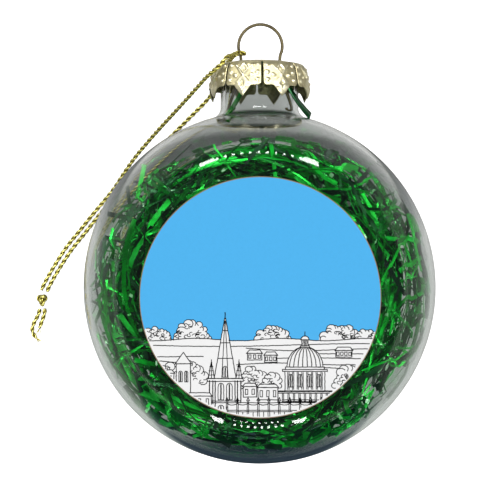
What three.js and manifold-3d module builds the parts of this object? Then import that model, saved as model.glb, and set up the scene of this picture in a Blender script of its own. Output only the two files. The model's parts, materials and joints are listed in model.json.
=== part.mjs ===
// A clear glass bauble with two flat faces, filled with green foil tinsel, lying on its back flat.
// A printed disc is glued to the front flat. A stamped crown cap closes the neck, a spring wire hanger
// holds the cap, and a gold cord loop is threaded through the hanger's ring and knotted.
// Millimetres. Z is the direction the front flat faces, Y runs up the neck, and the origin is the
// middle of the back flat.
import * as THREE from 'three';
import { mergeVertices } from 'three/addons/utils/BufferGeometryUtils.js';
import Module from 'manifold-3d';

const wasm = await Module();
wasm.setup();

// Driving dimensions
const BALL_RADIUS = 40;
const HALF_THICKNESS = 26;
const RIM_FILLET = 5;
const GLASS_WALL = 1;
const NECK_RADIUS = 8.9;
const NECK_TOP = 50.7;
const NECK_FLARE_START = 41;
const NECK_FLARE_END = 37.6;
const NECK_FLARE_RADIUS = 11.6;
const NECK_ROOT = 34;
const NECK_BORE_DEPTH = 22;

const DISC_RADIUS = 25.5;
const DISC_THICKNESS = 0.6;
const DISC_DROP = 1.5;
const ADHESIVE_RADIUS = 24;
const ADHESIVE_THICKNESS = 0.36;
const STACK_GAP = 0.02;

const CAP_TOP = 51.4;
const CAP_SHEET = 0.35;
const CAP_SPARE = 1;
const CAP_CORNER_REACH = 9;
const CAP_CORNER_RADIUS = 1.8;
const CAP_WAIST = { radius: 11.3, height: 47 };
const CAP_BRIM = { radius: 11.7, height: 44.6 };
const CAP_CURL = { radius: 11.4, height: 43.2 };
const CAP_TIP = { radius: 11.1, height: 42 };
const PETAL_COUNT = 8;
const PETAL_TIP_HALF_WIDTH = 1.8;
const SLIT_WIDTH = 0.5;
const SLIT_DEPTH = 5;
const SLIT_ANGLE = THREE.MathUtils.degToRad(3);
const LEG_HOLE = { alongX: 1.5, deep: 2, alongZ: 1.3 };

const WIRE_RADIUS = 0.325;
const RING_RADIUS = 5;
const RING_CENTRE = new THREE.Vector2(0.2, 55);
const RING_START = THREE.MathUtils.degToRad(-25);
const LEG_REACH = 4.4;
const SPRUNG_LEG = [
  [5.9, 40.7], [6.1, 40.1], [6.6, 39.8], [7.1, 40.1], [7.2, 40.9],
  [6.5, 43.2], [5.3, 46], [LEG_REACH, 48.3], [LEG_REACH, 50.4],
];

const CORD_RADIUS = 0.5;
const TURN_CLEARANCE = 0.3;

const FOIL_WIDTH = 1.4;
const FOIL_THICKNESS = 0.15;
const STRIPS_PER_LANE = 3;
const STRIP_SPAN = THREE.MathUtils.degToRad(84);
const STRIP_BENDS = 6;
const DRIFT = { reach: 1.1, inwardSwing: 5, heightSwing: 4 };
const TWIST_STEP = 0.7;
const STRAND_TWIST = 0.5;

// Facets round each turned shape
const RIM_FACETS = 3;
const BALL_FACETS = 10;
const BALL_SIDES = 56;
const NECK_SIDES = 40;
const DISC_SIDES = 72;
const CAP_SIDES = 48;
const RING_FACETS = 16;
const WIRE_STEPS = 64;
const CORD_STEPS = 40;

// Colours
const GLASS = { color: 0xc9cfcc, roughness: 0.02, metalness: 0, transparent: true, opacity: 0.35 };
const PRINT_BLUE = { color: 0x52b8f3, roughness: 0.35, metalness: 0 };
const CLEAR_TAPE = { color: 0xe8e6dc, roughness: 0.5, metalness: 0 };
const PALE_GOLD = { color: 0xcfc490, roughness: 0.35, metalness: 1 };
const DARK_BRASS = { color: 0x6b5d3c, roughness: 0.4, metalness: 1 };
const GOLD_THREAD = { color: 0xb8a52e, roughness: 0.4, metalness: 0.8 };
const GREEN_FOIL = { color: 0x0a7a26, roughness: 0.25, metalness: 1 };

const ornament = new THREE.Group();
const bauble = new THREE.Group();
bauble.position.z = HALF_THICKNESS;
ornament.add(bauble);

function addPiece(parent, name, geometry, look) {
  const mesh = new THREE.Mesh(geometry, new THREE.MeshStandardMaterial(look));
  mesh.name = name;
  parent.add(mesh);
  return mesh;
}

function twoDigits(number) {
  return String(number).padStart(2, '0');
}

// Closed solids for cutting and joining

function solidOf(geometry) {
  const bare = geometry.clone();
  bare.deleteAttribute('normal');
  bare.deleteAttribute('uv');
  const merged = mergeVertices(bare, 1e-4);
  const index = merged.index.array;
  const triangles = [];
  for (let i = 0; i < index.length; i += 3) {
    const [a, b, c] = [index[i], index[i + 1], index[i + 2]];
    if (a !== b && b !== c && c !== a) triangles.push(a, b, c);
  }
  const mesh = new wasm.Mesh({
    numProp: 3,
    vertProperties: new Float32Array(merged.attributes.position.array),
    triVerts: new Uint32Array(triangles),
  });
  return new wasm.Manifold(mesh);
}

function geometryOf(solid) {
  const mesh = solid.getMesh();
  const geometry = new THREE.BufferGeometry();
  geometry.setAttribute('position', new THREE.BufferAttribute(mesh.vertProperties, 3));
  geometry.setIndex(new THREE.BufferAttribute(mesh.triVerts, 1));
  geometry.computeVertexNormals();
  return geometry;
}

// Outlines and sections

function arc(centreX, centreY, radius, start, end, steps) {
  const points = [];
  for (let i = 0; i <= steps; i += 1) {
    const angle = start + ((end - start) * i) / steps;
    points.push(new THREE.Vector2(
      centreX + radius * Math.cos(angle),
      centreY + radius * Math.sin(angle),
    ));
  }
  return points;
}

function roundSection(radius, sides = 8) {
  return new THREE.Shape(arc(0, 0, radius, 0, 2 * Math.PI, sides).slice(0, -1));
}

function foilSection(tilt) {
  const corners = [[-1, -1], [1, -1], [1, 1], [-1, 1]].map(([across, through]) =>
    new THREE.Vector2((across * FOIL_WIDTH) / 2, (through * FOIL_THICKNESS) / 2)
      .rotateAround(new THREE.Vector2(), tilt));
  return new THREE.Shape(corners);
}

function sweep(section, points, steps) {
  const path = new THREE.CatmullRomCurve3(points, false, 'centripetal');
  return new THREE.ExtrudeGeometry(section, { steps, extrudePath: path });
}

function vectors(rows) {
  return rows.map(([x, y, z]) => new THREE.Vector3(x, y, z));
}

// Glass: a ball with two flat faces, hollow, open at the neck

function flatBall(inset) {
  const rimHeight = HALF_THICKNESS - RIM_FILLET;
  const rimReach = Math.sqrt((BALL_RADIUS - RIM_FILLET) ** 2 - rimHeight ** 2);
  const meet = Math.atan2(rimHeight, rimReach);
  const rim = RIM_FILLET - inset;
  const outline = [
    new THREE.Vector2(0, inset - HALF_THICKNESS),
    ...arc(rimReach, -rimHeight, rim, -Math.PI / 2, -meet, RIM_FACETS),
    ...arc(0, 0, BALL_RADIUS - inset, -meet, meet, BALL_FACETS).slice(1, -1),
    ...arc(rimReach, rimHeight, rim, meet, Math.PI / 2, RIM_FACETS),
    new THREE.Vector2(0, HALF_THICKNESS - inset),
  ];
  return new THREE.LatheGeometry(outline, BALL_SIDES).rotateX(Math.PI / 2);
}

function neckPost() {
  const outline = [
    new THREE.Vector2(0, NECK_ROOT),
    new THREE.Vector2(NECK_FLARE_RADIUS, NECK_ROOT),
    new THREE.Vector2(NECK_FLARE_RADIUS, NECK_FLARE_END),
    new THREE.Vector2(NECK_RADIUS, NECK_FLARE_START),
    new THREE.Vector2(NECK_RADIUS, NECK_TOP),
    new THREE.Vector2(0, NECK_TOP),
  ];
  return new THREE.LatheGeometry(outline, NECK_SIDES);
}

function neckBore() {
  const bore = NECK_RADIUS - GLASS_WALL;
  const length = NECK_BORE_DEPTH + 2 * CAP_SPARE;
  return new THREE.CylinderGeometry(bore, bore, length, NECK_SIDES)
    .translate(0, NECK_TOP + 2 * CAP_SPARE - length / 2, 0);
}

function bulbGlass() {
  const outside = solidOf(flatBall(0)).add(solidOf(neckPost()));
  const inside = solidOf(flatBall(GLASS_WALL)).add(solidOf(neckBore()));
  return geometryOf(outside.subtract(inside));
}

addPiece(bauble, 'bulb_glass', bulbGlass(), GLASS);

// Printed disc and the tape that holds it, a little below the middle of the front flat

function flatDisc(radius, thickness, floor) {
  return new THREE.CylinderGeometry(radius, radius, thickness, DISC_SIDES)
    .rotateX(Math.PI / 2)
    .translate(0, -DISC_DROP, floor + thickness / 2);
}

const tapeFloor = HALF_THICKNESS + STACK_GAP;
const discFloor = tapeFloor + ADHESIVE_THICKNESS + STACK_GAP;
addPiece(bauble, 'disc_adhesive', flatDisc(ADHESIVE_RADIUS, ADHESIVE_THICKNESS, tapeFloor), CLEAR_TAPE);
addPiece(bauble, 'front_disc', flatDisc(DISC_RADIUS, DISC_THICKNESS, discFloor), PRINT_BLUE);

// Crown cap: one stamped cup of thin sheet with slits between its petals and a point on each petal

function capCup() {
  const cornerHeight = CAP_TOP - CAP_CORNER_RADIUS;
  const rings = [CAP_TIP, CAP_CURL, CAP_BRIM, CAP_WAIST];
  const skirt = rings.map(({ radius, height }) => new THREE.Vector2(radius, height));
  const lining = skirt.map((point) => new THREE.Vector2(point.x - CAP_SHEET, point.y)).reverse();
  const innerCorner = CAP_CORNER_RADIUS - CAP_SHEET;
  const outline = [
    new THREE.Vector2(0, CAP_TOP - CAP_SHEET),
    ...arc(CAP_CORNER_REACH, cornerHeight, innerCorner, Math.PI / 2, 0, RIM_FACETS),
    ...lining,
    ...skirt,
    ...arc(CAP_CORNER_REACH, cornerHeight, CAP_CORNER_RADIUS, 0, Math.PI / 2, RIM_FACETS),
    new THREE.Vector2(0, CAP_TOP),
  ];
  return new THREE.LatheGeometry(outline, CAP_SIDES);
}

function petalGap(angle) {
  const slit = SLIT_WIDTH / 2;
  const tipSpacing = CAP_TIP.radius * Math.sin(Math.PI / PETAL_COUNT);
  const notch = tipSpacing - PETAL_TIP_HALF_WIDTH;
  const top = CAP_TOP + CAP_SPARE;
  const bottom = CAP_TIP.height - CAP_SPARE;
  const half = [
    [slit, top], [slit, CAP_BRIM.height], [notch, CAP_BRIM.height],
    [tipSpacing, CAP_TIP.height], [tipSpacing, bottom],
  ];
  const outline = [
    ...half.map(([x, y]) => new THREE.Vector2(x, y)),
    ...half.map(([x, y]) => new THREE.Vector2(-x, y)).reverse(),
  ];
  const options = { depth: SLIT_DEPTH, bevelEnabled: false };
  return new THREE.ExtrudeGeometry(new THREE.Shape(outline), options)
    .translate(0, 0, CAP_CORNER_REACH)
    .rotateY(angle);
}

function legHole(side) {
  return new THREE.BoxGeometry(LEG_HOLE.alongX, LEG_HOLE.deep, LEG_HOLE.alongZ)
    .translate(RING_CENTRE.x + side * LEG_REACH, CAP_TOP, 0);
}

function crownCap() {
  let cap = solidOf(capCup());
  for (let petal = 0; petal < PETAL_COUNT; petal += 1) {
    cap = cap.subtract(solidOf(petalGap(SLIT_ANGLE + (petal * 2 * Math.PI) / PETAL_COUNT)));
  }
  for (const side of [-1, 1]) cap = cap.subtract(solidOf(legHole(side)));
  return geometryOf(cap);
}

addPiece(bauble, 'cap', crownCap(), PALE_GOLD);

// Hanger: one wire, a ring above the cap and two sprung legs with hooked ends inside the neck

function hangerPath() {
  const ring = arc(0, RING_CENTRE.y, RING_RADIUS, RING_START, Math.PI - RING_START, RING_FACETS);
  const right = SPRUNG_LEG.map(([x, y]) => new THREE.Vector3(RING_CENTRE.x + x, y, 0));
  const top = ring.map((point) => new THREE.Vector3(RING_CENTRE.x + point.x, point.y, 0));
  const left = SPRUNG_LEG.map(([x, y]) => new THREE.Vector3(RING_CENTRE.x - x, y, 0)).reverse();
  return [...right, ...top, ...left];
}

const hangerWire = sweep(roundSection(WIRE_RADIUS), hangerPath(), WIRE_STEPS);
addPiece(bauble, 'hanger_wire', hangerWire, DARK_BRASS);

// Tinsel: foil strips in curved lanes round the hollow, three to a lane, each drifting in its lane

const LANES = [
  { radius: 23, height: 19 }, { radius: 28, height: 19 },
  { radius: 28.5, height: 13 }, { radius: 33, height: 13 },
  { radius: 29.5, height: 6.5 }, { radius: 35, height: 6.5 },
];

function laneStrip(lane, side, place, count) {
  const start = (2 * Math.PI * place) / STRIPS_PER_LANE + side * lane.radius;
  const points = [];
  for (let i = 0; i <= STRIP_BENDS; i += 1) {
    const along = i / STRIP_BENDS;
    const angle = start + STRIP_SPAN * along;
    const inward = DRIFT.reach * Math.sin(DRIFT.inwardSwing * along + count);
    const upward = DRIFT.reach * Math.cos(DRIFT.heightSwing * along + 2 * count);
    const radius = lane.radius + inward;
    const height = side * (lane.height + upward);
    points.push(new THREE.Vector3(radius * Math.cos(angle), radius * Math.sin(angle), height));
  }
  return sweep(foilSection(TWIST_STEP * count), points, STRIP_BENDS + 2);
}

let stripCount = 0;
for (const side of [-1, 1]) {
  for (const lane of LANES) {
    for (let place = 0; place < STRIPS_PER_LANE; place += 1) {
      stripCount += 1;
      const strip = laneStrip(lane, side, place, stripCount);
      addPiece(bauble, `tinsel_strip_${twoDigits(stripCount)}`, strip, GREEN_FOIL);
    }
  }
}

// One strand of tinsel stands up into the neck, and one is caught over its lip and lies on the shoulder

const NECK_STRAND = vectors([
  [-3, 46.5, 6.1], [-4.4, 43.3, 5.2], [-5.6, 40, 3.9], [-7.2, 37, 2.9], [-9, 34.2, 2.4],
]);
const LIP_STRAND = vectors([
  [5.9, 46.4, 7.5], [6.9, 44.4, 6.9], [8.4, 42.2, 5.4], [9.9, 40.5, 3.6], [11.4, 39.3, 2],
]);
const neckStrand = sweep(foilSection(STRAND_TWIST), NECK_STRAND, 12);
const lipStrand = sweep(foilSection(STRAND_TWIST), LIP_STRAND, 12);
addPiece(bauble, 'tinsel_neck_strand', neckStrand, GREEN_FOIL);
addPiece(bauble, 'tinsel_lip_strand', lipStrand, GREEN_FOIL);

// Cord: one gold cord threaded through the ring. Both strands run to the knot, and two short tails
// leave it. The front strand lies over the cap's shoulder and comes down to the table, and the back
// strand drops behind the cap and lies on the table all the way.

const TURN_HEIGHT = 53.4;
const TURN_RADIUS = WIRE_RADIUS + TURN_CLEARANCE + CORD_RADIUS;
const TURN_X = RING_CENTRE.x - Math.sqrt(RING_RADIUS ** 2 - (RING_CENTRE.y - TURN_HEIGHT) ** 2);
const STRAND_GAP = 0.3;

function cordTurn() {
  const halfTurn = arc(TURN_X, HALF_THICKNESS, TURN_RADIUS, -Math.PI / 2, Math.PI / 2, 8);
  return halfTurn.map((point) => new THREE.Vector3(point.x, TURN_HEIGHT, point.y));
}

const FRONT_ROUTE = vectors([
  [TURN_X - STRAND_GAP, TURN_HEIGHT, HALF_THICKNESS + TURN_RADIUS],
  [-5.4, 53.25, 27.4], [-6.05, 52.6, 29.1], [-6.55, 52.15, 31.2], [-7.25, 51.65, 33.5], [-8, 50.6, 34.8],
  [-9.4, 49.3, 33.7], [-10.9, 48.3, 31.9], [-12.35, 47.3, 29.5], [-13.6, 46.2, 27.4],
  [-15.95, 44.1, 23.8], [-19.6, 40.85, 18.6], [-23.5, 37.3, 13.8], [-26.7, 34.2, 10.2],
  [-29.7, 31.05, 7.2], [-32.6, 27.4, 4.6], [-35.3, 23.6, 2.7], [-37.9, 20.5, 1.5],
  [-40.55, 17.45, 0.85], [-43.9, 13.3, 0.6], [-47.2, 9.2, 0.55], [-50.6, 3.9, 0.55],
  [-52.6, 0.3, 0.65], [-53.35, -1.4, 0.9],
]);
const BACK_ROUTE = vectors([
  [TURN_X - STRAND_GAP, TURN_HEIGHT, HALF_THICKNESS - TURN_RADIUS],
  [-5.4, 53.3, 24.7], [-6.1, 53, 23.3], [-6.6, 52.7, 21.2], [-7.4, 52.35, 18.2], [-8.3, 51.6, 15],
  [-9.1, 50.4, 11.6], [-9.9, 49.1, 8], [-10.7, 47.8, 4.6], [-11.8, 46.3, 1.9],
  [-13.3, 44.6, 0.7], [-16.6, 41.3, 0.55], [-22, 35.9, 0.55], [-26.5, 31.1, 0.55],
  [-30.9, 26.4, 0.55], [-35.6, 21.4, 0.55], [-39.3, 16.9, 0.55], [-42.7, 12.6, 0.55],
  [-46, 8.45, 0.55], [-49.4, 3.2, 0.55], [-51.4, -0.4, 0.6], [-52, -1.8, 0.75],
]);
const LONG_TAIL = vectors([
  [-53.75, -6, 0.6], [-54.2, -7.5, 0.55], [-55, -9, 0.5],
  [-55.6, -10.5, 0.5], [-55.5, -11.9, 0.5], [-54.6, -13.2, 0.5],
]);
const SHORT_TAIL = vectors([
  [-52.5, -5.9, 0.6], [-52.7, -7.4, 0.55], [-53.3, -9.1, 0.5], [-53.9, -10.7, 0.5],
]);
const KNOT = { x: -53.1, y: -3.7, z: 1.3, across: 1.3, along: 1.75, lean: 0.1 };

function cordKnot() {
  return new THREE.SphereGeometry(1, 14, 10)
    .scale(KNOT.across, KNOT.along, KNOT.across)
    .rotateZ(KNOT.lean)
    .translate(KNOT.x, KNOT.y, KNOT.z);
}

const cordSection = roundSection(CORD_RADIUS);
addPiece(ornament, 'cord_turn', sweep(cordSection, cordTurn(), 8), GOLD_THREAD);
addPiece(ornament, 'cord_front_strand', sweep(cordSection, FRONT_ROUTE, CORD_STEPS), GOLD_THREAD);
addPiece(ornament, 'cord_back_strand', sweep(cordSection, BACK_ROUTE, CORD_STEPS), GOLD_THREAD);
addPiece(ornament, 'cord_knot', cordKnot(), GOLD_THREAD);
addPiece(ornament, 'cord_tail_long', sweep(cordSection, LONG_TAIL, 5), GOLD_THREAD);
addPiece(ornament, 'cord_tail_short', sweep(cordSection, SHORT_TAIL, 4), GOLD_THREAD);

export default ornament;
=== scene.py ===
"""Looks for a clear glass bauble: printed disc, green foil tinsel, stamped crown cap, wire hanger, gold cord.

Shapes are written in millimetres and turned into metres as each piece is made. The bauble lies on its
back flat, +Z comes out of the front flat and +Y runs up the neck.
"""

import json
import math
import random

import bpy
import numpy as np
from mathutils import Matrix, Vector
from mathutils.geometry import tessellate_polygon

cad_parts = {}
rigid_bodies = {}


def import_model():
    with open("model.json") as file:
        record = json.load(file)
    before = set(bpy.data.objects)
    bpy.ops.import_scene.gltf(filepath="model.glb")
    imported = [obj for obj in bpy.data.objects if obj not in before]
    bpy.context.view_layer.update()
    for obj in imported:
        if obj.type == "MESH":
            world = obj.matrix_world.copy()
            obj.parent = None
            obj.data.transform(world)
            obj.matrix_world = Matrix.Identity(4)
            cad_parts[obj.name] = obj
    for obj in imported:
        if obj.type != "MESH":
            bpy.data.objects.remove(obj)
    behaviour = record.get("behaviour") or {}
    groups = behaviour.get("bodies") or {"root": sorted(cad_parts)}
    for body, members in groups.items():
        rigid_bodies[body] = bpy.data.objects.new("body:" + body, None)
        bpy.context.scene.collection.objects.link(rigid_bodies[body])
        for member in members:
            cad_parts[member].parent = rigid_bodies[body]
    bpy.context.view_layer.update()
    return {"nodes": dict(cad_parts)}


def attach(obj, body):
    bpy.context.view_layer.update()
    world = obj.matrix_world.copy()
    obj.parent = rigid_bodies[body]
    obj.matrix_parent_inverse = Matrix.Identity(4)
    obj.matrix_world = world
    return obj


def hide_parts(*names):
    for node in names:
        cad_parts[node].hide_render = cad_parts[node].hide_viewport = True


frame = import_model()

MM = 0.001

# The bauble's driving sizes
BALL_RADIUS = 40
HALF_THICKNESS = 26
RIM_FILLET = 5
RIM_REACH = 28
RIM_HEIGHT = HALF_THICKNESS - RIM_FILLET
WALL = 1
NECK_RADIUS = 8.9
NECK_FILLET = 2.5
LIP_TOP = 50.3
DISC_RADIUS = 25.5
DISC_CENTRE_Y = -1.5
DISC_TOP = 53.0
DISC_THICKNESS = 0.6
RING_CENTRE = (0.2, 55.0)
RING_RADIUS = 5
WIRE_RADIUS = 0.36

# ---- curves and meshes


def catmull_rom(points, per_span=8):
    """Points along the centripetal Catmull-Rom curve through the given points."""
    given = [Vector(p) for p in points]
    padded = [2 * given[0] - given[1], *given, 2 * given[-1] - given[-2]]
    route = []
    for a, b, c, d in zip(padded, padded[1:], padded[2:], padded[3:]):
        before, here, after = (math.sqrt((q - p).length) for p, q in ((a, b), (b, c), (c, d)))
        leave = ((b - a) / before - (c - a) / (before + here) + (c - b) / here) * here
        arrive = ((c - b) / here - (d - b) / (here + after) + (d - c) / after) * here
        for step in range(per_span):
            t = step / per_span
            start = b * (2 * t**3 - 3 * t**2 + 1) + leave * (t**3 - 2 * t**2 + t)
            route.append(start + c * (3 * t**2 - 2 * t**3) + arrive * (t**3 - t**2))
    return np.array([*route, given[-1]], float)


def travelled(route):
    """Distance along the route at each of its points."""
    steps = np.linalg.norm(np.diff(route, axis=0), axis=1)
    return np.concatenate([[0.0], np.cumsum(steps)])


def evenly(route, spacing):
    """The same route with its points a constant distance apart."""
    along = travelled(route)
    places = np.linspace(0, along[-1], max(3, int(round(along[-1] / spacing)) + 1))
    return np.stack([np.interp(places, along, route[:, axis]) for axis in range(3)], axis=1)


def unit(rows):
    return rows / np.maximum(np.linalg.norm(rows, axis=-1, keepdims=True), 1e-12)


def frames_along(route):
    """The direction at each point and two sideways directions that never spin about it."""
    ahead = unit(np.gradient(route, axis=0))
    side = np.zeros_like(route)
    hint = np.eye(3)[np.argmin(np.abs(ahead[0]))]
    for i, direction in enumerate(ahead):
        hint = hint - direction * (hint @ direction)
        hint = hint / np.linalg.norm(hint)
        side[i] = hint
    return ahead, side, np.cross(ahead, side)


def circle(count):
    """Points of the unit circle, as rows of (cosine, sine)."""
    turn = np.linspace(0, 2 * math.pi, count, endpoint=False)
    return np.stack([np.cos(turn), np.sin(turn)], axis=1)


def skin_faces(count, rows, inward=False):
    """Faces that join rows of points, each a closed ring of the same count."""
    faces = []
    for near in range(0, (rows - 1) * count, count):
        for j in range(count):
            k = (j + 1) % count
            rest = (near + k, near + count + k, near + count + j)
            faces.append((near + j, *(reversed(rest) if inward else rest)))
    return faces


class Shape:
    """Points and faces collected for one mesh, with one number kept at each point."""

    def __init__(self):
        self.points = []
        self.faces = []
        self.marks = []

    def add(self, points, faces, mark=0.0):
        base = len(self.points)
        self.points.extend(map(tuple, points))
        self.faces.extend(tuple(base + i for i in face) for face in faces)
        self.marks.extend([mark] * len(points) if np.isscalar(mark) else mark)

    def sweep(self, route, section, side, up, mark=0.0):
        """A closed bar along the route. Section holds its corners, as offsets (to the side, up)."""
        rings = route[:, None] + section[:, :1] * side[:, None] + section[:, 1:] * up[:, None]
        count = len(section)
        end = len(route) * count
        faces = skin_faces(count, len(route))
        faces.append(tuple(reversed(range(count))))
        faces.append(tuple(range(end - count, end)))
        self.add(rings.reshape(-1, 3), faces, mark)

    def tube(self, route, radius, sides, mark=0.0):
        _, side, up = frames_along(route)
        self.sweep(route, radius * circle(sides), side, up, mark)

    def prism(self, outline, low, high):
        """A flat plate of the given outline, which runs counterclockwise."""
        count = len(outline)
        top = [(x, y, high) for x, y in outline]
        bottom = [(x, y, low) for x, y in outline]
        faces = []
        for a, b, c in tessellate_polygon([[Vector(p) for p in top]]):
            (ax, ay), (bx, by), (cx, cy) = outline[a], outline[b], outline[c]
            if (bx - ax) * (cy - ay) - (by - ay) * (cx - ax) < 0:
                b, c = c, b
            faces.append((a, b, c))
            faces.append((count + a, count + c, count + b))
        self.add(top + bottom, faces + skin_faces(count, 2, True))


def closed_skin(rings, poles, inward=False):
    """A shape over rings of points, closed at each end by a fan about a pole."""
    count = len(rings[0])
    end = len(rings) * count
    faces = skin_faces(count, len(rings), inward)
    for j in range(count):
        k = (j + 1) % count
        a, b = (j, k) if inward else (k, j)
        faces.append((end, a, b))
        faces.append((end + 1, end - count + b, end - count + a))
    shape = Shape()
    shape.add([*np.concatenate(rings), *poles], faces)
    return shape


def make_piece(name, shape, material, body, replaced=(), smooth=True):
    """A mesh object from a shape in millimetres, riding on its body."""
    mesh = bpy.data.meshes.new(name)
    mesh.from_pydata([Vector(p) * MM for p in shape.points], [], shape.faces)
    mesh.polygons.foreach_set("use_smooth", [smooth] * len(mesh.polygons))
    marks = mesh.attributes.new("mark", "FLOAT", "POINT")
    marks.data.foreach_set("value", shape.marks)
    mesh.materials.append(material)
    piece = bpy.data.objects.new(name, mesh)
    bpy.context.scene.collection.objects.link(piece)
    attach(piece, body)
    if replaced:
        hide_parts(*replaced)
    return piece


# ---- materials


def new_material(name, metallic=0.0, roughness=0.5, specular=0.5):
    """A node material and its Principled shader."""
    material = bpy.data.materials.new(name)
    material.use_nodes = True
    tree = material.node_tree
    shader = tree.nodes["Principled BSDF"]
    feed(tree, shader, {"Metallic": metallic, "Roughness": roughness, "Specular IOR Level": specular})
    return material, tree, shader


def feed(tree, node, inputs):
    """Gives each input a number, a colour or a socket to read."""
    for key, value in inputs.items():
        socket = node.inputs[key]
        if isinstance(value, bpy.types.NodeSocket):
            tree.links.new(value, socket)
        else:
            socket.default_value = (*value, 1) if socket.type == "RGBA" else value


def add_node(tree, kind, inputs):
    """A new node with its inputs given."""
    node = tree.nodes.new(kind)
    feed(tree, node, inputs)
    return node


def noise(tree, scale, detail, stretch=(1, 1, 1)):
    """Noise in the piece's own coordinates. Scale is in cycles a metre."""
    place = tree.nodes.new("ShaderNodeTexCoord").outputs["Object"]
    place = add_node(tree, "ShaderNodeMapping", {"Vector": place, "Scale": stretch}).outputs["Vector"]
    inputs = {"Vector": place, "Scale": scale, "Detail": detail}
    return add_node(tree, "ShaderNodeTexNoise", inputs).outputs["Fac"]


def mark_value(tree):
    """The number kept at each point of the mesh."""
    node = tree.nodes.new("ShaderNodeAttribute")
    node.attribute_name = "mark"
    return node.outputs["Fac"]


def ramp(tree, source, stops):
    """Colours or greys over a value. Stops are (position, colour)."""
    node = add_node(tree, "ShaderNodeValToRGB", {"Fac": source})
    elements = node.color_ramp.elements
    while len(elements) < len(stops):
        elements.new(0.5)
    for element, (position, colour) in zip(elements, stops):
        element.position = position
        grey = (colour,) * 3 if np.isscalar(colour) else colour
        element.color = (*grey, 1)
    return node.outputs["Color"]


def mottle(tree, scale, detail, dark, light, edge=0.3):
    """Two tones in soft patches."""
    return ramp(tree, noise(tree, scale, detail), [(edge, dark), (1 - edge, light)])


def blend(tree, factor, first, second, kind="MIX"):
    """Two colours mixed by a factor. A colour is three numbers or a socket."""
    node = tree.nodes.new("ShaderNodeMix")
    node.data_type = "RGBA"
    node.blend_type = kind
    feed(tree, node, {0: factor, 6: first, 7: second})
    return node.outputs[2]


def shaded(tree, colour, shade):
    return blend(tree, 1.0, colour, shade, "MULTIPLY")


def bump(tree, shader, height, strength, distance):
    inputs = {"Height": height, "Strength": strength, "Distance": distance * MM}
    feed(tree, shader, {"Normal": add_node(tree, "ShaderNodeBump", inputs).outputs["Normal"]})


def glass_material():
    """Thin clear glass with a faint grey cast, which lets the lamps through to what it holds."""
    material, tree, shader = new_material("clear_glass", roughness=0.0)
    feed(tree, shader, {"Base Color": (0.9, 0.93, 0.92), "IOR": 1.5, "Transmission Weight": 1})
    bump(tree, shader, noise(tree, 45, 1), 0.03, 0.4)
    clear = add_node(tree, "ShaderNodeBsdfTransparent", {"Color": (0.93, 0.95, 0.94)})
    rays = tree.nodes.new("ShaderNodeLightPath")
    mix = add_node(tree, "ShaderNodeMixShader", {
        "Fac": rays.outputs["Is Shadow Ray"], 1: shader.outputs["BSDF"], 2: clear.outputs["BSDF"],
    })
    feed(tree, tree.nodes["Material Output"], {"Surface": mix.outputs["Shader"]})
    return material


def mottled_material(name, patches, grain, stops=None, **finish):
    """Patches of (scale, detail, dark, light), which shade the colours by mark where stops are given.

    The grain is (scale, detail, strength, depth).
    """
    material, tree, shader = new_material(name, **finish)
    colour = mottle(tree, *patches)
    if stops:
        colour = shaded(tree, ramp(tree, mark_value(tree), stops), colour)
    feed(tree, shader, {"Base Color": colour})
    bump(tree, shader, noise(tree, *grain[:2]), *grain[2:])
    return material


def foil_material():
    """Green metallised film. By mark it runs from near black to bright green, a tone that differs strip by
    strip and is partly painted shade and painted highlight, and on to mint white, painted glints on its
    creases.
    """
    # Near black to bright green: each strip's tone, partly painted shade and highlight. Mint white at 1:
    # painted glints.
    stops = [
        (0, (0.0, 0.012, 0.004)), (0.25, (0.0, 0.07, 0.012)), (0.5, (0.0, 0.27, 0.015)),
        (0.8, (0.0, 0.55, 0.03)), (0.9, (0.02, 0.7, 0.08)), (1, (0.55, 1.0, 0.6)),
    ]
    worn = (500, 2, 0.65, 1, 0.35)
    return mottled_material("green_foil", worn, (800, 1, 0.2, 0.08), stops, metallic=0.7, roughness=0.27)


def gold_thread_material():
    """Yellow metallic thread, with a painted highlight on the crowns of the plies and painted shade, olive
    brown, between them.
    """
    # By mark: dark painted shade where the plies meet, painted highlight on their crowns.
    stops = [(0.2, (0.05, 0.035, 0.001)), (0.5, (0.42, 0.34, 0.02)), (0.85, (1.0, 0.92, 0.28))]
    fibres = (5200, 2, 0.6, 1)
    return mottled_material("gold_thread", fibres, (6500, 2, 0.6, 0.05), stops, metallic=0.7, roughness=0.36)


def cap_material():
    """Pale gold aluminium with a fine grain, a painted highlight on the raised pattern and painted shade,
    olive, in the recesses.
    """
    # By mark: painted shade in the recesses, painted highlight on the raised pattern.
    stops = [(0.0, (0.3, 0.26, 0.11)), (0.35, (0.66, 0.59, 0.34)), (0.8, (0.93, 0.87, 0.6))]
    material = mottled_material("cap_gold", (260, 4, 0.8, 1), (3000, 3, 0.25, 0.03), stops, metallic=0.72)
    tree = material.node_tree
    feed(tree, tree.nodes["Principled BSDF"], {"Roughness": mottle(tree, 700, 3, 0.24, 0.4)})
    return material


def cap_inside_shade_material():
    """The cap's inside: its gold made darker and browner, painted shade."""
    patches = (500, 4, (0.16, 0.14, 0.06), (0.3, 0.27, 0.14))
    return mottled_material("cap_inside_painted_shade", patches, (2500, 3, 0.3, 0.03), metallic=0.8)


def wire_material():
    """Drawn brass gone brown, with a fine grain."""
    patches = (400, 4, (0.07, 0.055, 0.028), (0.17, 0.14, 0.07))
    return mottled_material("hanger_brass", patches, (4000, 2, 0.2, 0.02), metallic=0.6, specular=0.2)


def ink_material(name, colour, roughness):
    """A printed ink with the faint mottle of a transfer print."""
    material, tree, shader = new_material(name, roughness=roughness, specular=0.2)
    feed(tree, shader, {"Base Color": shaded(tree, colour, mottle(tree, 1800, 3, 0.97, 1))})
    bump(tree, shader, noise(tree, 5000, 2), 0.05, 0.01)
    return material


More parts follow.
